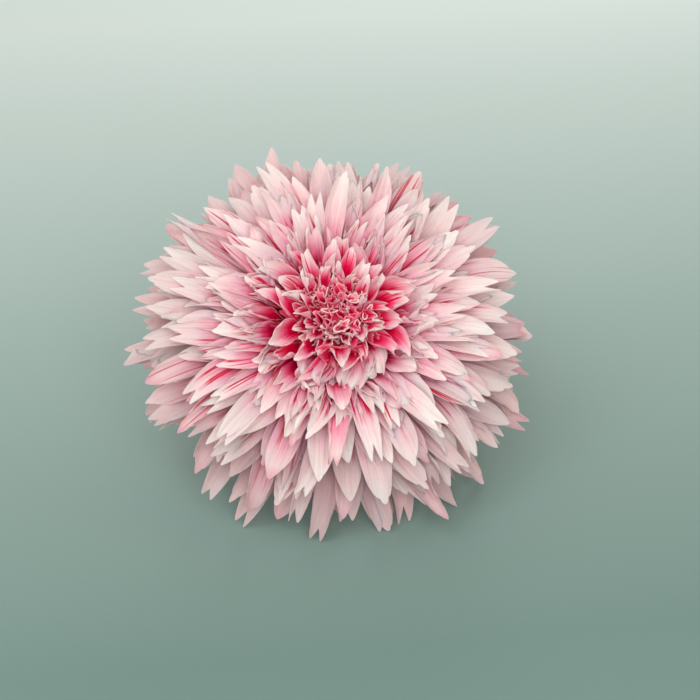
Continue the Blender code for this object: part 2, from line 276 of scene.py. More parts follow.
cup_points, calyx_faces = turned_grid([(r * 0.995, h) for r, h in CALYX_OUTLINE])
calyx_points = [cup_points]
calyx_marks = [(0.0, 0.0, 0.4)] * len(cup_points)
bract_v = np.linspace(0, 1, BRACT_ROWS + 1)[:, None]
bract_u = np.linspace(-1, 1, BRACT_COLUMNS + 1)[None, :]
bract_share = bract_v * (1 - 0.42 * np.abs(bract_u) ** 1.5)
bract_width = np.interp(bract_v, (0, 0.4, 0.8, 1.0), (0.7, 0.98, 0.92, 0.75)) * bract_u
bract_keel = (0.25 * MM * (1 - np.abs(bract_u)) ** 2 - 0.35 * MM * bract_u ** 2) * np.ones_like(bract_share)
bract_thick = BRACT_THICKNESS * (0.25 + 0.6 * (1 - bract_u ** 2)) * (1 - 0.6 * bract_v)
bract_pattern = shell_faces(BRACT_ROWS, BRACT_COLUMNS)
bract_draw = random.Random(5)
for count, half_width, offset, line in BRACT_RINGS:
    for k in range(count):
        azimuth = math.tau * (k + offset) / count + math.radians(bract_draw.uniform(-3, 3))
        wide = half_width * bract_draw.uniform(0.9, 1.1) * MM
        raised = bract_draw.uniform(0.96, 1.05)
        outward = np.array((math.cos(azimuth), math.sin(azimuth), 0.0))
        side = np.array((-math.sin(azimuth), math.cos(azimuth), 0.0))
        out = outward * 0.62 - np.array((0.0, 0.0, 0.78))
        stations = (0.0, 1 / 3, 2 / 3, 1.0)
        radius = np.interp(bract_share, stations, [r for r, _ in line]) * raised * MM
        height = np.interp(bract_share, stations, [h for _, h in line]) * MM
        middle = outward * radius[..., None] + side * (wide * bract_width)[..., None]
        middle += out * bract_keel[..., None]
        middle[..., 2] += height
        base = sum(len(points) for points in calyx_points)
        calyx_points.append(shell_points(middle, out, bract_thick))
        calyx_faces += [tuple(base + i for i in face) for face in bract_pattern]
        marks = np.broadcast_arrays(bract_u, bract_share, bract_draw.random())
        calyx_marks += [tuple(mark) for mark in np.stack(marks, axis=-1).reshape(-1, 3)] * 2

# Green bract: matt, leathery leaf skin, mottled in patches about 1.6 mm wide, with a dry, papery, pale rim
bract = new_material("green_bract_leaf")
bract_mark = node(bract, "Attribute", attribute_name="bract_mark")
bract_parts = node(bract, "SeparateXYZ", {0: bract_mark.outputs["Vector"]})
bract_edge = node(bract, "Math", {0: bract_parts.outputs[0]}, operation="ABSOLUTE")
bract_place = node(bract, "TexCoord")
bract_mottle = node(bract, "TexNoise", {
    "Vector": bract_place.outputs["Object"], "Scale": 1 / (1.6 * MM), "Detail": 4.0})
bract_green = node(bract, "ValToRGB", {0: bract_mottle}, stops=(
    (0.32, "#476327"), (0.52, "#5F7D38"), (0.70, "#7E9850")))
bract_rim = node(bract, "MapRange", {0: bract_edge, 1: 0.72, 2: 0.98, 3: 0.0, 4: 0.8})
bract_colour = node(bract, "Mix", {0: bract_rim, 6: bract_green, 7: colour("#CFCBA6")}, data_type="RGBA")
bract_bump = node(bract, "Bump", {"Height": bract_mottle, "Strength": 0.4, "Distance": 0.15 * MM})
finish_material(bract, bract_colour.outputs[2], bract_bump.outputs[0], {"Roughness": 0.58, "IOR": 1.42})

calyx_points = placed(np.concatenate(calyx_points))
calyx = new_piece("calyx_bracts", calyx_points, calyx_faces, bract, {"bract_mark": calyx_marks})
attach(calyx, "root")
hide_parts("calyx")

# THE RECEPTACLE
# The fleshy knob that every floret grows from. It is hidden by the rays nearly all round: pale green by the
# calyx, and stained crimson at its rim, where it shows as a glow between the petals' bases.
RECEPTACLE_OUTLINE = (
    (8.5, -9.6), (11.0, -8.0), (12.6, -3.0), (14.4, 2.5), (15.8, 6.4), (15.9, 8.0), (15.0, 8.8),
    (13.9, 8.4), (13.1, 7.2), (11.4, 6.2),
)
flesh_points, flesh_faces = turned_grid(RECEPTACLE_OUTLINE)

# Receptacle flesh: moist pithy tissue, dull, mottled in patches about 2 mm wide, crimson between the petal
# bases and pale green lower down
flesh = new_material("receptacle_flesh")
flesh_place = node(flesh, "TexCoord")
flesh_mottle = node(flesh, "TexNoise", {
    "Vector": flesh_place.outputs["Object"], "Scale": 1 / (2.0 * MM), "Detail": 3.0})
flesh_crimson = node(flesh, "ValToRGB", {0: flesh_mottle}, stops=(
    (0.35, "#B80A3E"), (0.65, "#D84A70")))
flesh_green = node(flesh, "ValToRGB", {0: flesh_mottle}, stops=(
    (0.35, "#BDC08C"), (0.65, "#DDD6B4")))
flesh_up = node(flesh, "VectorMath", {
    0: flesh_place.outputs["Object"], 1: (0.0, -math.sin(LEAN), math.cos(LEAN))}, operation="DOT_PRODUCT")
flesh_high = node(flesh, "MapRange", {0: flesh_up.outputs["Value"], 1: 33 * MM, 2: 40 * MM})
flesh_colour = node(flesh, "Mix", {0: flesh_high, 6: flesh_green, 7: flesh_crimson}, data_type="RGBA")
flesh_bump = node(flesh, "Bump", {"Height": flesh_mottle, "Strength": 0.4, "Distance": 0.3 * MM})
finish_material(flesh, flesh_colour.outputs[2], flesh_bump.outputs[0], {
    "Roughness": 0.6, "Specular IOR Level": 0.15})

receptacle = new_piece("receptacle", placed(flesh_points), flesh_faces, flesh)
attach(receptacle, "root")
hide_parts("ray_petals")

# THE RAYS
# The long petals: soft, channelled straps that grow from the receptacle one every golden angle, the
# innermost short and upright with frilled ends, the outermost long and bent back. Each is a thin satin
# blade with fine grooves, rolled at its narrow base, and its tip is a point, a cleft or a few teeth.
RAY_COUNT = 162
GOLDEN_ANGLE = math.radians(137.508)
RAY_SEED = 1137
# Way out from 0 to 1, root radius, root height, length and greatest half width in mm, then the angles in
# degrees from the flower's axis at which a ray leaves its root and at which it ends
RAY_LAYERS = (
    (0.00, 15.2, 8.0, 18.5, 3.2, 34, 70),
    (0.10, 15.0, 7.2, 23.0, 3.5, 36, 78),
    (0.30, 13.8, 5.6, 34.0, 4.0, 41, 90),
    (0.50, 12.4, 3.2, 43.5, 4.2, 49, 95),
    (0.70, 10.8, 0.0, 52.0, 4.4, 59, 100),
    (0.85, 9.4, -3.0, 57.5, 4.3, 70, 108),
    (1.00, 8.0, -6.2, 57.0, 4.1, 86, 126),
)
FORKED_SHARE = 0.4
FORK_SPREAD = 0.50
TOUCH_REACH = 4 * MM
RAY_THICKNESS = 0.40 * MM
# On this side, the lower left, the petals are deeper crimson: partly the flower's own tone, partly painted
# shade
SAPPY_AND_SHADED_SIDE = math.radians(225)
RAY_ROWS, RAY_COLUMNS, RAY_STEPS = 26, 18, 48
RAY_WIDTHS = ((0, 0.12, 0.30, 0.48, 0.66, 0.86, 0.95, 1), (0.30, 0.36, 0.62, 0.86, 0.97, 1.0, 0.95, 0.86))


def ray_form(number):
    """The numbers that make one ray: its layer's values with small differences, then its finer habits.

    A whole number is one of the plain solid's blades, and a fraction is a younger ray with draws of its own.
    """
    draw = random.Random(RAY_SEED + int(number) + int(16000 * (number % 1)))
    way_out = number / (RAY_COUNT - 1)
    ways, *columns = zip(*RAY_LAYERS)
    layer = [np.interp(way_out, ways, column) for column in columns]
    lean_off = draw.gauss(0, 3.0)
    form = {
        "number": number,
        "way_out": way_out,
        "azimuth": number * GOLDEN_ANGLE + math.radians(draw.gauss(0, 1.6)),
        "root_radius": layer[0] * MM,
        "root_height": layer[1] * MM,
        "length": layer[2] * MM * (1 + max(-0.12, min(0.12, draw.gauss(0, 0.05)))),
        "half_width": layer[3] * MM * draw.uniform(0.86, 1.12),
        "start": math.radians(layer[4] + lean_off),
        "end": math.radians(layer[5] + lean_off + draw.gauss(0, 5)),
        "sway": math.radians(draw.gauss(0, 4.5)),
        "twist": math.radians(draw.gauss(0, 13)),
        "cup": draw.uniform(0.18, 0.36) + 0.15 * max(0.0, 1 - way_out / 0.15),
        "forked": draw.random() < FORKED_SHARE,
    }
    frill = max(0.0, 1 - way_out / 0.20)
    form.update({
        "frill": frill,
        "tip": draw.uniform(5.4, 9.0) * MM * (1 - 0.35 * frill),
        "tip_round": draw.uniform(1.05, 1.55),
        "fork": draw.uniform(2.8, 5.8) * MM,
        "teeth": (draw.choice((0.0, 0.3, 0.6, 1.0, 1.5)) + 0.9 * frill) * MM,
        "wave": (draw.uniform(0.15, 0.55) + 0.7 * frill) * MM,
        "wave_count": draw.uniform(1.2, 2.6) + 1.0 * frill,
        "wave_start": draw.random(),
        "curl": draw.gauss(0.08, 0.26) - 0.30 * max(0.0, 1 - way_out / 0.4),
        "tip_twist": math.radians(draw.gauss(0, 14)) * (1 + 1.2 * frill),
        "groove": draw.uniform(0.5, 1.1),
        "keel": draw.uniform(-0.02, 0.12),
        "roll": draw.choice((0.8, 0.9, 1.0, 1.1, 1.3, 1.9)),
        "hood": draw.choice((0.0, 0.0, 0.3, 0.8, 1.6)),
        "shade": draw.random(),
        "streak": draw.random(),
        # Sap is deeper by the heart, and deeper on the lower left side, partly as painted shade
        "sap": 1.04 + 0.24 * max(0.0, 1 - way_out / 0.30) + 0.15 * math.cos(form["azimuth"] - SAPPY_AND_SHADED_SIDE),
        "fade": 1.0,
        "flush": 0.0,
        "margin": 0.10 + 0.22 * frill,
    })
    form["half_width"] *= 1.02 + 0.30 * frill
    form["length"] *= 1.0 if number == int(number) else 0.95
    return form


def tip_line(form, u):
    """How far along its length a ray reaches at each place across it."""
    spread = np.abs(u)
    tip, fork, teeth = (form[name] / form["length"] for name in ("tip", "fork", "teeth"))
    if form["forked"]:
        line = 1 - tip * np.clip((spread - FORK_SPREAD) / (1 - FORK_SPREAD), 0, 1) ** 1.3
        return line - fork * np.clip(1 - spread / FORK_SPREAD, 0, 1) ** 1.2
    line = 1 - tip * spread ** form["tip_round"]
    return line - teeth * np.clip(1 - np.abs(spread - 0.36) / 0.13, 0, 1)


def ray_middle(form, lift, u, v):
    """A ray's middle surface at places across, -1 to 1, and along, 0 to 1, and which way its top faces."""
    share = v * tip_line(form, u)
    steps = np.arange(RAY_STEPS + 1) / RAY_STEPS
    bend = form["curl"] * np.clip((steps - 0.62) / 0.38, 0, 1) ** 1.6
    angles = form["start"] + (form["end"] - form["start"]) * steps - lift + bend
    step = form["length"] / RAY_STEPS
    radii = form["root_radius"] + np.concatenate(([0.0], np.cumsum(np.sin(angles[:-1]) * step)))
    heights = form["root_height"] + np.concatenate(([0.0], np.cumsum(np.cos(angles[:-1]) * step)))
    radius = np.interp(share, steps, radii)
    height = np.interp(share, steps, heights)
    angle = np.interp(share, steps, angles)
    azimuth = form["azimuth"] + form["sway"] * share ** 2
    zero = np.zeros_like(share)
    outward = np.stack((np.cos(azimuth), np.sin(azimuth), zero), axis=-1)
    flat_side = np.stack((-np.sin(azimuth), np.cos(azimuth), zero), axis=-1)
    flat_normal = -outward * np.cos(angle)[..., None]
    flat_normal[..., 2] += np.sin(angle)
    late = np.clip((share - 0.55) / 0.45, 0, 1)
    turn = (form["twist"] * share + form["tip_twist"] * late ** 1.5)[..., None]
    side = flat_side * np.cos(turn) + flat_normal * np.sin(turn)
    normal = flat_normal * np.cos(turn) - flat_side * np.sin(turn)

    half = form["half_width"] * np.interp(v, *RAY_WIDTHS)
    roll = 2 * form["cup"] * form["roll"] * (1 + 1.6 * (1 - v) ** 3)
    roll = roll * (1 + form["hood"] * np.clip((v - 0.72) / 0.28, 0, 1) ** 1.5)
    lateral = half * np.sin(roll * u) / roll
    rise = half * ((1 - np.cos(roll * u)) / roll + form["keel"] * np.abs(u))
    groove = 0.055 * form["groove"] * half * np.cos(3 * math.pi * u) * np.sin(math.pi * v * 0.97) ** 0.5
    wave = form["wave"] * np.abs(u) ** 2.5 * v * np.sin(
        math.tau * (form["wave_count"] * v + form["wave_start"] + 0.23 * np.sign(u)))
    ruffle = form["frill"] * 0.95 * MM * np.clip((v - 0.45) / 0.55, 0, 1) ** 1.5 * np.sin(
        math.tau * (1.35 * u + 0.8 * v + 2 * form["wave_start"]))
    middle = outward * radius[..., None] + side * lateral[..., None]
    middle += normal * (rise + groove + wave + ruffle)[..., None]
    middle[..., 2] += height
    return middle, normal, share


def ray_shell(form, lift, u, v):
    """The points of a ray's thin shell, upper side first, and how far along its length each grid place is."""
    middle, normal, share = ray_middle(form, lift, u, v)
    thickness = RAY_THICKNESS * (1 - 0.5 * u ** 2) * (1 - 0.35 * v)
    return placed(shell_points(middle, normal, thickness)), share


def ray_lift(form, u, v):
    """How far a ray is turned at its root to lie on the table, if it would end below it or just above it."""
    height = ray_shell(form, 0.0, u, v)[0][:, 2].min()
    if height > TOUCH_REACH:
        return 0.0
    under, over = (0.0, math.radians(60)) if height < 0 else (math.radians(-20), 0.0)
    for _ in range(20):
        lift = (under + over) / 2
        if ray_shell(form, lift, u, v)[0][:, 2].min() < 0:
            under = lift
        else:
            over = lift
    return over


# Petal tissue: a thin skin over watery flesh, satin and half see-through, so that light glows in it.
# Crimson sap colours the base, uneven in patches about 7 mm wide, and fades through rose to warm white.
petal = new_material("ray_petal_tissue")
petal_mm = node(petal, "Attribute", attribute_name="petal_mm")
petal_tone = node(petal, "Attribute", attribute_name="petal_tone")
petal_draw = node(petal, "Attribute", attribute_name="petal_draw")
petal_t = node(petal, "SeparateXYZ", {0: petal_tone.outputs["Vector"]})
petal_d = node(petal, "SeparateXYZ", {0: petal_draw.outputs["Vector"]})
petal_cloud = node(petal, "TexNoise", {"Vector": petal_mm.outputs["Vector"], "Scale": 1 / 7.0, "Detail": 2.0})
petal_own = node(petal, "Math", {0: petal_d.outputs[0], 1: 0.20, 2: -0.10}, operation="MULTIPLY_ADD")
petal_patchy = node(petal, "Math", {0: petal_cloud, 1: 0.26, 2: -0.13}, operation="MULTIPLY_ADD")
petal_shift = node(petal, "Math", {0: petal_own, 1: petal_patchy}, operation="ADD")
petal_depth = node(petal, "Math", {0: petal_t.outputs[1], 1: petal_shift}, operation="ADD")
petal_ground = node(petal, "ValToRGB", {0: petal_depth}, stops=(
    (0.00, "#EDE0D9"), (0.12, "#F0D7D2"), (0.28, "#F1C4C8"), (0.45, "#F199AD"), (0.60, "#EA4C75"),
    (0.74, "#DC064A"), (0.95, "#D0003E")))

# Veins run the petal's length about 0.6 mm apart
petal_vein_place = node(petal, "Mapping", {
    "Vector": petal_mm.outputs["Vector"], "Scale": (1 / 0.6, 1 / 16.0, 1.0)})
petal_veins = node(petal, "TexNoise", {
    "Vector": petal_vein_place, "Scale": 1.0, "Detail": 2.0, "Roughness": 0.5})
petal_vein_dark = node(petal, "MapRange", {0: petal_veins, 1: 0.46, 2: 0.68, 3: 0.0, 4: 0.45})
petal_vein_fade = node(petal, "MapRange", {0: petal_depth, 1: 0.0, 2: 0.6, 3: 0.42, 4: 1.0})
petal_vein_amount = node(petal, "Math", {0: petal_vein_dark, 1: petal_vein_fade}, operation="MULTIPLY")
petal_veined = node(petal, "Mix", {
    0: petal_vein_amount, 6: petal_ground, 7: colour("#E0869C")},
    data_type="RGBA", blend_type="MULTIPLY")

# Crimson streaks up to about 1 mm wide run along the petals, far out on a few
petal_streak_place = node(petal, "Mapping", {
    "Vector": petal_mm.outputs["Vector"], "Scale": (1 / 0.9, 1 / 50.0, 1.0)})
petal_streaks = node(petal, "TexNoise", {
    "Vector": petal_streak_place, "Scale": 1.0, "Detail": 1.0, "Roughness": 0.5})
petal_streak_on = node(petal, "MapRange", {0: petal_streaks, 1: 0.575, 2: 0.635, 3: 0.0, 4: 1.0})
petal_reach_power = node(petal, "Math", {0: petal_d.outputs[1], 1: 1.1}, operation="POWER")
petal_reach = node(petal, "Math", {0: petal_reach_power, 1: -0.56, 2: 0.60}, operation="MULTIPLY_ADD")
petal_past = node(petal, "Math", {0: petal_depth, 1: petal_reach}, operation="SUBTRACT")
petal_streak_end = node(petal, "MapRange", {0: petal_past, 1: -0.06, 2: 0.08, 3: 0.0, 4: 0.95})
petal_streak_amount = node(petal, "Math", {0: petal_streak_on, 1: petal_streak_end}, operation="MULTIPLY")
petal_streaked = node(petal, "Mix", {
    0: petal_streak_amount, 6: petal_veined.outputs[2], 7: colour("#C4003C")}, data_type="RGBA")

# The thin rim is paler, partly its own thinner tissue and partly a painted highlight where light catches the
# edge, and on about one petal in five the very tip is stained pink
petal_edge = node(petal, "Math", {0: petal_t.outputs[0]}, operation="ABSOLUTE")
petal_rim_and_highlight = node(petal, "MapRange", {0: petal_edge, 1: 0.86, 2: 1.0, 3: 0.0, 4: 0.28})
petal_rim_highlight_fade = node(petal, "MapRange", {0: petal_depth, 1: 0.35, 2: 0.80, 3: 1.0, 4: 0.3})
petal_rim_highlight_amount = node(petal, "Math", {0: petal_rim_and_highlight, 1: petal_rim_highlight_fade}, operation="MULTIPLY")
petal_rimmed_and_highlit = node(petal, "Mix", {
    0: petal_rim_highlight_amount, 6: petal_streaked.outputs[2], 7: colour("#F5D3D2")}, data_type="RGBA")
petal_stained = node(petal, "MapRange", {0: petal_d.outputs[0], 1: 0.78, 2: 0.84, 3: 0.0, 4: 0.6})
petal_tip = node(petal, "MapRange", {0: petal_t.outputs[1], 1: 0.02, 2: 0.12, 3: 1.0, 4: 0.0})
petal_stain = node(petal, "Math", {0: petal_stained, 1: petal_tip}, operation="MULTIPLY")
petal_tipped = node(petal, "Mix", {
    0: petal_stain, 6: petal_rimmed_and_highlit.outputs[2], 7: colour("#CE6A84")}, data_type="RGBA")

# The under side is a paler, dusty pink, and the outermost petals are greyed, most on their upper side: partly
# the oldest petals gone greyish, partly painted shade
petal_cover = node(petal, "MapRange", {0: petal_t.outputs[2], 1: 0.15, 2: 0.90, 3: 0.32, 4: 0.86})
petal_under = node(petal, "Math", {0: petal_d.outputs[2], 1: petal_cover}, operation="MULTIPLY")
petal_sided = node(petal, "Mix", {
    0: petal_under, 6: petal_tipped.outputs[2], 7: colour("#EFBBC2")}, data_type="RGBA")
petal_old_and_shade = node(petal, "MapRange", {0: petal_t.outputs[2], 1: 0.45, 2: 1.0, 3: 0.0, 4: 0.85})
petal_old_and_shade_side = node(petal, "Math", {0: petal_d.outputs[2], 1: -0.55, 2: 1.0}, operation="MULTIPLY_ADD")
petal_old_and_shade_amount = node(petal, "Math", {0: petal_old_and_shade, 1: petal_old_and_shade_side}, operation="MULTIPLY")
petal_aged_and_shaded = node(petal, "Mix", {
    0: petal_old_and_shade_amount, 6: petal_sided.outputs[2], 7: colour("#BE9CA0")}, data_type="RGBA")

# The skin's cells are drawn 0.18 mm wide, coarser than real ones, so that they show
petal_cells = node(petal, "TexNoise", {
    "Vector": petal_mm.outputs["Vector"], "Scale": 1 / 0.18, "Detail": 2.0})
petal_relief = node(petal, "Math", {0: petal_cells, 1: 0.25, 2: petal_veins}, operation="MULTIPLY_ADD")
petal_bump = node(petal, "Bump", {"Height": petal_relief, "Strength": 0.6, "Distance": 0.25 * MM})
finish_material(petal, petal_aged_and_shaded.outputs[2], petal_bump.outputs[0], {
    "Roughness": 0.55, "IOR": 1.40, "Specular IOR Level": 0.10, "Subsurface Weight": 0.6,
    "Subsurface Radius": (1.0, 0.5, 0.45), "Subsurface Scale": 2.0 * MM})


def shell_charts(count, rows, columns):
    """Each face corner's place on a flat map where every shell's two sides have tall cells of their own."""
    down = math.ceil(math.sqrt(2 * count / 5))
    over = math.ceil(2 * count / down)
    u, v = np.meshgrid(np.linspace(0.08, 0.92, columns + 1), np.linspace(0.03, 0.97, rows + 1))
    flat = np.stack((u.ravel(), v.ravel()), axis=-1)
    faces = shell_faces(rows, columns)
    under = (rows + 1) * (columns + 1)
    corners = []
    for face in faces:
        rim = any(i < under for i in face) and any(i >= under for i in face)
        for i in face:
            place = flat[i % under].copy()
            if rim and i >= under:
                place += np.sign(place - 0.5) * (0.04, 0.015)
            corners.append((place[0], place[1], 0 if rim or i < under else 1))
    across, along, under_side = np.array(corners).T
    charts = []
    for number in range(count):
        cell = 2 * number + under_side
        charts.append(np.stack(((cell % over + across) / over, (cell // over + along) / down), axis=-1))
    return np.concatenate(charts)


def ray_piece(name, forms, cad_node, rows=RAY_ROWS, columns=RAY_COLUMNS):
    """One mesh piece that holds rays of these forms, with each point's place in mm, sap and draws."""
    u = np.linspace(-1, 1, columns + 1)[None, :]
    v = 1 - (1 - np.linspace(0, 1, rows + 1)[:, None]) ** 1.15
    points, faces, millimetres, tones, draws = [], [], [], [], []
    pattern = np.array(shell_faces(rows, columns))
    grid = (rows + 1) * (columns + 1)
    for place, form in enumerate(forms):
        shell, share = ray_shell(form, ray_lift(form, u, v), u, v)
        points.append(shell)
        faces.append(pattern + 2 * grid * place)
        across = np.broadcast_to(u, share.shape)
        number_row = np.full_like(share, form["number"] * 7.3)
        length = form["length"] / MM
        millimetres.append(np.stack((across * form["half_width"] / MM, share * length, number_row), axis=-1))
        sap = form["sap"] * np.clip(1 - share, 0, 1) ** form["fade"]
        tone = sap * (1 - form["margin"] * u ** 2) + form["flush"]
        tones.append(np.stack((across, tone, np.full_like(share, form["way_out"])), axis=-1))
        for side in (0.0, 1.0):
            draws.append(np.broadcast_to((form["shade"], form["streak"], side), (grid, 3)))
    values = {"petal_draw": np.concatenate(draws)}
    for value_name, grids in (("petal_mm", millimetres), ("petal_tone", tones)):
        values[value_name] = np.concatenate([one.reshape(-1, 3) for one in grids for _ in (0, 1)])
    charts = shell_charts(len(forms), rows, columns)
    piece = new_piece(name, np.concatenate(points), np.concatenate(faces), petal, values, charts)
    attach(piece, "root")
    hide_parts(cad_node)


# Younger petals stand between the larger ones: after every one by the centre and on the outside, after
# every second in between, and a third set fills the outermost layers
ray_numbers = list(range(RAY_COUNT))
ray_numbers += [n + 0.36 for n in range(RAY_COUNT - 1) if n < 30 or n % 2 or n > 95]
ray_numbers += [n + 0.10 for n in range(118, RAY_COUNT - 1)]
quarters = np.array_split(sorted(ray_numbers), 4)
for name, quarter in zip(("rays_heart", "rays_inner", "rays_middle", "rays_outer"), quarters):
    ray_piece(name, [ray_form(number) for number in quarter.tolist()], "ray_petals")

# THE INNER SCOOPS
# The last rays before the heart: short, cupped petals of the same thin tissue, crimson inside and pale at
# the tip, which grow from the cushion's flank and lean out over the first long rays. Five ragged lips droop
# round the heart's one wide funnel, and small crumpled flakes of petal stand among the tubes.
SCOOP_COUNT = 52
SCOOP_SEED = 2600
FLAKE_COUNT = 34
FLAKE_SEED = 5200
FLAKES_FROM = 70
# Each lip's azimuth in degrees, length and half width in mm, and the angle from the axis at which it ends
LIPS = (
    (-128, 17.5, 5.0, 92), (-108, 19.0, 5.2, 120), (-90, 15.0, 4.0, 102), (-73, 18.0, 5.4, 124),
    (-53, 16.0, 4.5, 94),
)


def scoop_form(number):
    """The numbers of one scoop: a short, strongly cupped ray that stands on the cushion's flank."""
    form = ray_form(number + 0.70)
    draw = random.Random(SCOOP_SEED + number)
    out = number / (SCOOP_COUNT - 1)
    form.update({
        "way_out": 0.0,
        "root_radius": (7.4 + 4.8 * out) * MM,
        "root_height": (18.0 - 8.2 * out ** 2) * MM,
        "length": (8.0 + 10.5 * out) * MM * draw.uniform(0.85, 1.15),
        "half_width": (2.3 + 1.8 * out) * MM * draw.uniform(0.8, 1.2),
    })
    lean_off = draw.gauss(0, 7)
    form.update({
        "start": math.radians(8 + 32 * out + lean_off),
        "end": math.radians(40 + 34 * out + lean_off + draw.gauss(0, 9)),
        "sway": math.radians(draw.gauss(0, 9)),
        "twist": math.radians(draw.gauss(0, 20)),
        "cup": draw.uniform(0.34, 0.52),
        "frill": draw.choice((0.1, 0.3, 0.6, 0.8)),
        "tip": draw.uniform(3.4, 5.6) * MM,
        "teeth": draw.choice((0.0, 0.3, 0.8)) * MM,
        "fork": draw.uniform(1.0, 2.2) * MM,
        "wave": draw.uniform(0.2, 0.7) * MM,
        "curl": draw.gauss(-0.15, 0.45),
        "sap": draw.uniform(1.12, 1.46),
        "fade": draw.uniform(0.72, 1.0),
        "margin": 0.36,
    })
    return form


def lip_form(number):
    """The numbers of one of the ragged lips that droop round the wide funnel."""
    form = scoop_form(number + SCOOP_COUNT)
    azimuth, length, half_width, end = LIPS[number]
    form.update({
        "azimuth": math.radians(azimuth), "root_radius": 11.6 * MM, "root_height": 12.2 * MM,
        "length": length * MM, "half_width": half_width * MM,
        "start": math.radians(24), "end": math.radians(end), "twist": form["twist"] * 0.5, "curl": 0.35,
        "cup": 0.20, "roll": 1.0, "hood": 0.0, "frill": 1.7, "teeth": 1.9 * MM,
        "sap": 1.26, "fade": 1.0, "flush": -0.01,
    })
    return form


def flake_form(number):
    """The numbers of one small crumpled flake of petal that stands among the tubes."""
    form = scoop_form(number + FLAKES_FROM)
    draw = random.Random(FLAKE_SEED + number)
    out = math.sqrt((number + 0.5) / FLAKE_COUNT)
    tilt = 50 * out ** 2
    form.update({
        "azimuth": (number + 0.4) * GOLDEN_ANGLE,
        "root_radius": 9.6 * out * MM,
        "root_height": (18.4 - 4.4 * out ** 2.6) * MM,
        "length": draw.uniform(4.6, 8.0) * MM,
        "half_width": draw.uniform(1.3, 2.3) * MM,
        "start": math.radians(tilt + draw.gauss(-8, 14)),
        "end": math.radians(tilt + draw.gauss(20, 26)),
        "frill": draw.uniform(0.3, 0.9),
        "tip": draw.uniform(1.4, 2.6) * MM,
        "teeth": 0.0,
        "fork": draw.uniform(0.4, 1.0) * MM,
        "curl": draw.gauss(0.1, 0.7),
        "flush": draw.uniform(0.05, 0.42),
    })
    return form


scoops = [scoop_form(number) for number in range(SCOOP_COUNT)]
scoops += [lip_form(number) for number in range(len(LIPS))]
flakes = [flake_form(number) for number in range(FLAKE_COUNT)]
ray_piece("inner_scoops", scoops, "centre_florets", 24, 16)
ray_piece("inner_flakes", flakes, "centre_florets", 14, 10)

# THE CENTRE FLORETS
# The crowded heart of the bloom: small soft tubes with crumpled, folded mouths, coral with pale lips and
# crimson throats, standing on a cushion of the same flesh. The outermost open wide on one side, and one
# below them gapes as a wide ragged funnel.
CUSHION_OUTLINE = (
    (10.6, 6.5), (12.2, 8.0), (12.4, 12.0), (11.0, 16.0), (8.0, 19.0), (4.0, 20.6), (0.6, 21.0),
)
FLORET_COUNT = 54
FLORET_SEED = 77
FLORET_FIELD = 10.6 * MM
FUNNELS_FROM = 0.82
FLORET_THICKNESS = 0.34 * MM
FLORET_RINGS, FLORET_SPOKES = 14, 30
BETWEEN_COUNT = 34
BIG_LOBES = [1.25, 0.85, 1.2, 0.9, 1.3, 0.8]


def floret_middle(number, t, spokes):
    """A floret's middle surface: rings of points from its foot, t = 0, to its lip, t = 1."""
    between = number != int(number)
    draw = random.Random(FLORET_SEED + (4000 + int(number) if between else number))
    way_out = math.sqrt((number + 0.5) / FLORET_COUNT)
    funnel = max(0.0, (way_out - FUNNELS_FROM) / (1 - FUNNELS_FROM)) ** 0.5
    azimuth = number * GOLDEN_ANGLE
    tilt = math.radians(54) * way_out ** 2 + math.radians(draw.gauss(0, 7))
    outward = np.array((math.cos(azimuth), math.sin(azimuth), 0.0))
    foot = outward * FLORET_FIELD * way_out + np.array((0.0, 0.0, (18.8 - 5.6 * way_out ** 2.6) * MM))
    side = np.array((-math.sin(azimuth), math.cos(azimuth), 0.0))
    tall = draw.uniform(4.8, 7.4) * MM * (1 + 0.35 * funnel)
    mouth = draw.uniform(1.5, 2.0) * MM * (1 + 0.25 * funnel)
    turn = draw.uniform(0, math.tau)
    lobes = [draw.uniform(0.68, 1.25) for _ in range(6)]
    tall *= draw.uniform(0.72, 1.12)
    mouth *= draw.uniform(0.75, 1.30)
    lean = math.radians(draw.gauss(0, 11))
    axis = np.array((0.0, 0.0, math.cos(tilt))) + outward * math.sin(tilt)
    axis = axis * math.cos(lean) + side * math.sin(lean)
    if between:
        tall, mouth = tall * 0.82, mouth * 0.72
    return tube_middle(foot, axis, side, tall, mouth, lobes, turn, 0.4 * funnel, draw, t, spokes)


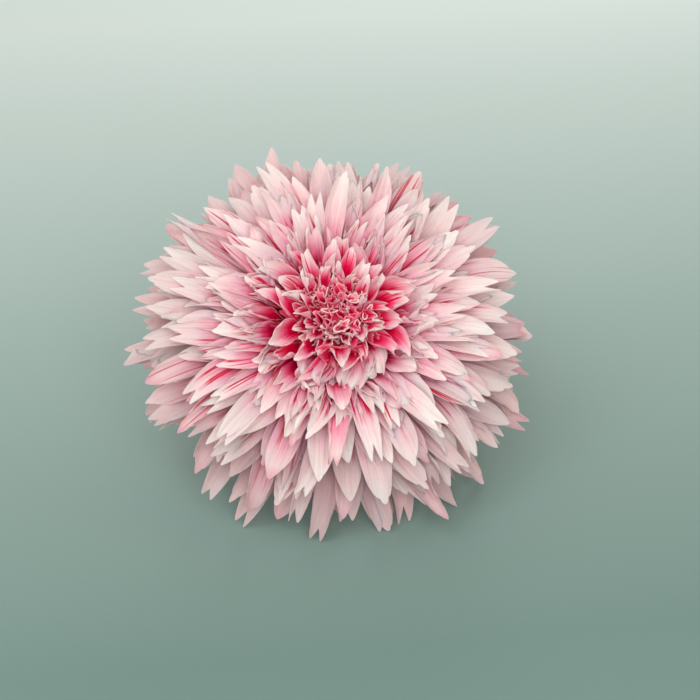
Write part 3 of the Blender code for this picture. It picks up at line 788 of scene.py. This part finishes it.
def tube_middle(foot, axis, side, tall, mouth, lobes, turn, gape, draw, t, spokes):
    """A tube's middle surface from its foot along its axis, flaring to a crumpled, folded, nodding mouth."""
    side = np.cross(np.cross(axis, side), axis)
    side /= np.linalg.norm(side)
    front = np.cross(axis, side)
    angles = turn + spokes
    outer_side = -np.sin(angles)
    corner = spokes / math.tau * 6
    lobe = np.interp(corner % 6, np.arange(7), lobes + lobes[:1])
    cleft = np.abs(corner - np.round(corner)) * 2
    lobe = lobe * (1.10 - (0.30 - 0.10 * gape) * cleft ** 1.6)
    squash = draw.uniform(0.26, 0.62) + 0.30 * gape
    fold = draw.uniform(0, math.pi) * (1 - gape) + draw.gauss(0, 0.35)
    oval = 1 / np.sqrt(np.cos(angles - fold) ** 2 + (np.sin(angles - fold) / squash) ** 2) / math.sqrt(squash)
    crumple = sum(
        draw.uniform(0.4, 1.0) * np.cos(k * spokes + draw.uniform(0, math.tau)) for k in (2, 3, 5, 7)) / 2.6
    scoop = draw.uniform(0.1, 0.9) * (0.45 + 0.55 * gape)
    off_front = np.arcsin(np.clip(np.cos(angles), -1, 1)) - draw.gauss(0, 0.3)
    point = np.exp(-(off_front / 0.45) ** 2) * (outer_side > 0)
    flare = np.clip((t - 0.36) / 0.64, 0, 1) ** 1.3
    tube = 0.85 * MM + 0.9 * MM * gape * np.clip(t / 0.5, 0, 1)
    radius = tube + (mouth * 0.95 * lobe * oval - tube) * flare
    radius = radius * (1 + 0.24 * crumple * flare)
    reach = 1 + flare * (0.34 * (lobe - 1) + 0.14 * crumple)
    reach = reach - scoop * 0.55 * flare * (1 - outer_side) / 2 + scoop * flare * (0.12 + 0.45 * point)
    nod = draw.uniform(-0.5, 0.9) * (0.30 + 0.50 * gape)
    droop = nod * np.clip(outer_side + 0.4, 0, 1) * np.clip((t - 0.66) / 0.34, 0, 1) ** 2
    rise = tall * (t * reach - np.maximum(droop, 0) * 0.40)
    spoke = side * np.cos(angles)[..., None] + front * np.sin(angles)[..., None]
    middle = foot + axis * rise[..., None] + spoke * (radius + tall * droop * 0.34)[..., None]
    return middle, spoke, draw.random()


def big_funnel(t, spokes):
    """The one wide ragged funnel, which stands below the other florets and faces the viewer."""
    draw = random.Random(4)
    azimuth, tilt = math.radians(-93), math.radians(36)
    outward = np.array((math.cos(azimuth), math.sin(azimuth), 0.0))
    side = np.array((-math.sin(azimuth), math.cos(azimuth), 0.0))
    axis = np.array((0.0, 0.0, math.cos(tilt))) + outward * math.sin(tilt)
    foot = outward * 10.2 * MM + np.array((0.0, 0.0, 11.5 * MM))
    return tube_middle(
        foot, axis, side, tall=10.5 * MM, mouth=5.7 * MM, lobes=BIG_LOBES, turn=0.3, gape=1.0, draw=draw,
        t=t, spokes=spokes)


def tube_faces(rings, spokes):
    """The faces of a thin closed tube: an outer and an inner skin, joined at the lip, capped at the foot."""
    inner = rings * spokes
    faces = []
    for r in range(rings - 1):
        for k in range(spokes):
            a, n = r * spokes + k, r * spokes + (k + 1) % spokes
            faces.append((a, n, n + spokes, a + spokes))
            faces.append((inner + a, inner + a + spokes, inner + n + spokes, inner + n))
    for k in range(spokes):
        a, n = (rings - 1) * spokes + k, (rings - 1) * spokes + (k + 1) % spokes
        faces.append((a, n, inner + n, inner + a))
    caps = [tuple(reversed(range(spokes))), tuple(range(inner, inner + spokes))]
    return faces, caps


def tube_skins(middle, spoke, thickness):
    """The outer and inner points of a thin tube round a grid of middle points."""
    along = np.gradient(middle, axis=0)
    round_it = np.roll(middle, -1, axis=1) - np.roll(middle, 1, axis=1)
    normal = np.cross(round_it, along)
    normal /= np.maximum(np.linalg.norm(normal, axis=-1, keepdims=True), 1e-12)
    normal *= np.sign(np.median((normal * spoke).sum(axis=-1)) + 1e-9)
    outer, inner = middle + normal * thickness / 2, middle - normal * thickness / 2
    return np.concatenate((outer.reshape(-1, 3), inner.reshape(-1, 3)))


def cap_corners(spokes, numbers, side):
    """The flat places of the corners of a tube's foot cap: an oval below its skin."""
    turns = np.array(list(numbers)) * math.tau / spokes
    return [(spokes * (0.5 + 0.4 * math.cos(a)), -0.6 + 0.3 * math.sin(a), side) for a in turns]


def tube_charts(count, rings, spokes):
    """Each face corner's place on a flat map: a cell for the cushion, then one for each skin of each tube."""
    square = ((0, 0), (1, 0), (1, 1), (0, 1))
    high, sides = len(CUSHION_OUTLINE), TURNED_SIDES
    cushion = [(k + x, r + y, 0) for r in range(high - 1) for k in range(sides) for x, y in square]
    cushion += cap_corners(sides, reversed(range(sides)), 0)
    cushion += [(x, y + high, side) for x, y, side in cap_corners(sides, range(sides), 0)]
    tube = []
    for r in range(rings - 1):
        for k in range(spokes):
            tube += [(k + x, r + y, 0) for x, y in square]
            tube += [(k + y, r + x, 1) for x, y in square]
    tube += [(k + x, rings - 1 + 0.5 * y, 0) for k in range(spokes) for x, y in square]
    tube += cap_corners(spokes, reversed(range(spokes)), 0) + cap_corners(spokes, range(spokes), 1)
    over = math.ceil(math.sqrt(2 * count + 1))
    charts = []
    for number in range(-1, count):
        along, up_it, skin = np.array(cushion if number < 0 else tube).T
        wide, tall = (sides, high) if number < 0 else (spokes, rings)
        cell = skin if number < 0 else 2 * number + 1 + skin
        u, v = 0.04 + 0.92 * along / wide, 0.04 + 0.92 * (up_it + 1) / (tall + 1)
        charts.append(np.stack(((cell % over + u) / over, (cell // over + v) / over), axis=-1))
    return np.concatenate(charts)


cushion_points, floret_faces = turned_grid(CUSHION_OUTLINE)
floret_points = [placed(cushion_points)]
floret_marks = [(0.66, 1.0, 0.5)] * len(cushion_points)
floret_base = len(cushion_points)
floret_t = np.linspace(0, 1, FLORET_RINGS)[:, None] ** 0.8
floret_spokes = (np.arange(FLORET_SPOKES) * math.tau / FLORET_SPOKES)[None, :]
tube_pattern, tube_caps = tube_faces(FLORET_RINGS, FLORET_SPOKES)
tubes = [floret_middle(number, floret_t, floret_spokes) for number in range(FLORET_COUNT)]
tubes += [floret_middle(number + 0.5, floret_t, floret_spokes) for number in range(BETWEEN_COUNT)]
tubes.append(big_funnel(floret_t, floret_spokes))
for middle, spoke, shade in tubes:
    floret_points.append(placed(tube_skins(middle, spoke, FLORET_THICKNESS)))
    floret_faces += [tuple(floret_base + i for i in face) for face in tube_pattern + tube_caps]
    for inner in (0.0, 1.0):
        level = np.broadcast_to(floret_t, (FLORET_RINGS, FLORET_SPOKES)).ravel()
        floret_marks += [(one, inner, shade) for one in level]
    floret_base += 2 * FLORET_RINGS * FLORET_SPOKES

# Floret tissue: thin crumpled petal skin with a soft sheen, mottled in patches about 1.5 mm wide, coral
# with a pale lip and a crimson throat
coral = new_material("coral_floret_tissue")
coral_mark = node(coral, "Attribute", attribute_name="floret_mark")
coral_parts = node(coral, "SeparateXYZ", {0: coral_mark.outputs["Vector"]})
coral_place = node(coral, "TexCoord")
coral_mottle = node(coral, "TexNoise", {
    "Vector": coral_place.outputs["Object"], "Scale": 1 / (1.5 * MM), "Detail": 3.0})
coral_shift = node(coral, "Math", {0: coral_mottle, 1: 0.26, 2: -0.13}, operation="MULTIPLY_ADD")
coral_own = node(coral, "Math", {0: coral_parts.outputs[2], 1: 0.28, 2: -0.22}, operation="MULTIPLY_ADD")
coral_raised = node(coral, "Math", {0: coral_own, 1: coral_shift}, operation="ADD")
coral_level = node(coral, "Math", {0: coral_parts.outputs[0], 1: coral_raised}, operation="ADD")
coral_outer = node(coral, "ValToRGB", {0: coral_level}, stops=(
    (0.15, "#C01242"), (0.45, "#D63A60"), (0.75, "#E26C84"), (0.92, "#E88E9C"), (1.00, "#F2BEBE")))
coral_inner = node(coral, "ValToRGB", {0: coral_level}, stops=(
    (0.20, "#8E0028"), (0.45, "#C80040"), (0.66, "#D82856"), (0.82, "#E46886"), (0.94, "#EDA8B0"),
    (1.00, "#F4D2CE")))
coral_sided = node(coral, "Mix", {
    0: coral_parts.outputs[1], 6: coral_outer, 7: coral_inner}, data_type="RGBA")
coral_bump = node(coral, "Bump", {"Height": coral_mottle, "Strength": 0.5, "Distance": 0.2 * MM})
finish_material(coral, coral_sided.outputs[2], coral_bump.outputs[0], {
    "Roughness": 0.5, "IOR": 1.40, "Specular IOR Level": 0.2, "Subsurface Weight": 0.4,
    "Subsurface Radius": (1.0, 0.4, 0.4), "Subsurface Scale": 0.8 * MM})

floret_charts = tube_charts(len(tubes), FLORET_RINGS, FLORET_SPOKES)
floret_points = np.concatenate(floret_points)
florets = new_piece(
    "centre_florets_fine", floret_points, floret_faces, coral, {"floret_mark": floret_marks}, floret_charts)
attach(florets, "root")
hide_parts("centre_florets")

# THE TABLE
# A plain sheet of sage card that the flower lies on, matt, with a painted fall of light that leaves it darker
# in front and paler towards the back. It lies 0.2 mm low, clear of the stem's uneven skin.
CARD_HALF = 4.0
CARD_DROP = 0.2 * MM

# Coloured card: pressed fibres without a sheen, the faint grain drawn 0.8 mm wide, coarser than real fibres
card = new_material("pale_sage_card")
card_place = node(card, "TexCoord")
card_parts = node(card, "SeparateXYZ", {0: card_place.outputs["Object"]})
# Painted light: the card grows darker towards the front and paler towards the back
card_painted_light_fade = node(card, "MapRange", {0: card_parts.outputs[1], 1: -0.10, 2: 0.43, 3: 0.0, 4: 1.0})
card_grain = node(card, "TexNoise", {
    "Vector": card_place.outputs["Object"], "Scale": 1 / (0.8 * MM), "Detail": 2.0})
card_painted_light_ground = node(card, "ValToRGB", {0: card_painted_light_fade}, stops=(
    (0.0, "#67857D"), (0.355, "#90AAA2"), (0.60, "#ABC2BB"), (1.0, "#C9DBD5")))
card_colour = node(card, "Mix", {0: card_grain, 6: card_painted_light_ground, 7: colour("#A9BBB0")}, data_type="RGBA")
card_mix = node(card, "Mix", {0: 0.06, 6: card_painted_light_ground, 7: card_colour.outputs[2]}, data_type="RGBA")
finish_material(card, card_mix.outputs[2], None, {"Roughness": 0.9})

table_mesh = bpy.data.meshes.new("table")
card_corners = [(x * CARD_HALF, y * CARD_HALF, -CARD_DROP) for x, y in ((-1, -1), (1, -1), (1, 1), (-1, 1))]
table_mesh.from_pydata(card_corners, [], [(0, 1, 2, 3)])
table_mesh.materials.append(card)
table = bpy.data.objects.new("table", table_mesh)
bpy.context.scene.collection.objects.link(table)

# LIGHT AND CAMERA
# Soft studio light: one broad panel above and to the left, one in front beside the camera, a weak one
# behind, and pale walls all round.


def panel(name, place, aim, size, watts):
    """A square light panel that faces a point."""
    lamp = bpy.data.lights.new(name, "AREA")
    lamp.size = size
    lamp.energy = watts
    thing = bpy.data.objects.new(name, lamp)
    thing.location = place
    thing.rotation_euler = (Vector(place) - Vector(aim)).to_track_quat("Z", "Y").to_euler()
    bpy.context.scene.collection.objects.link(thing)


bloom_middle = (0.0, 0.0, 0.045)
panel("panel_high_left", (-0.50, -0.45, 0.95), bloom_middle, 0.7, 3.6)
panel("panel_front", (-0.05, -0.85, 0.52), bloom_middle, 0.6, 5.3)
panel("panel_back", (0.30, 1.00, 0.30), bloom_middle, 0.4, 2.4)

walls = bpy.data.worlds.new("pale_walls")
walls.use_nodes = True
walls.node_tree.nodes["Background"].inputs["Color"].default_value = colour("#F6EAE8")
walls.node_tree.nodes["Background"].inputs["Strength"].default_value = 0.77
bpy.context.scene.world = walls
bpy.context.scene.view_settings.view_transform = "Standard"

camera_data = bpy.data.cameras.new("camera")
camera_data.lens = 100
camera_data.sensor_width = 36
camera_data.clip_start = 0.01
camera = bpy.data.objects.new("camera", camera_data)
azimuth, elevation = math.radians(-9), math.radians(29)
aim = Vector((0.0072, 0.0, 0.0408))
level = math.cos(elevation)
towards = Vector((math.sin(azimuth) * level, -math.cos(azimuth) * level, math.sin(elevation)))
camera.location = aim + towards * 0.62
camera.rotation_euler = towards.to_track_quat("Z", "Y").to_euler()
bpy.context.scene.collection.objects.link(camera)
bpy.context.scene.camera = camera
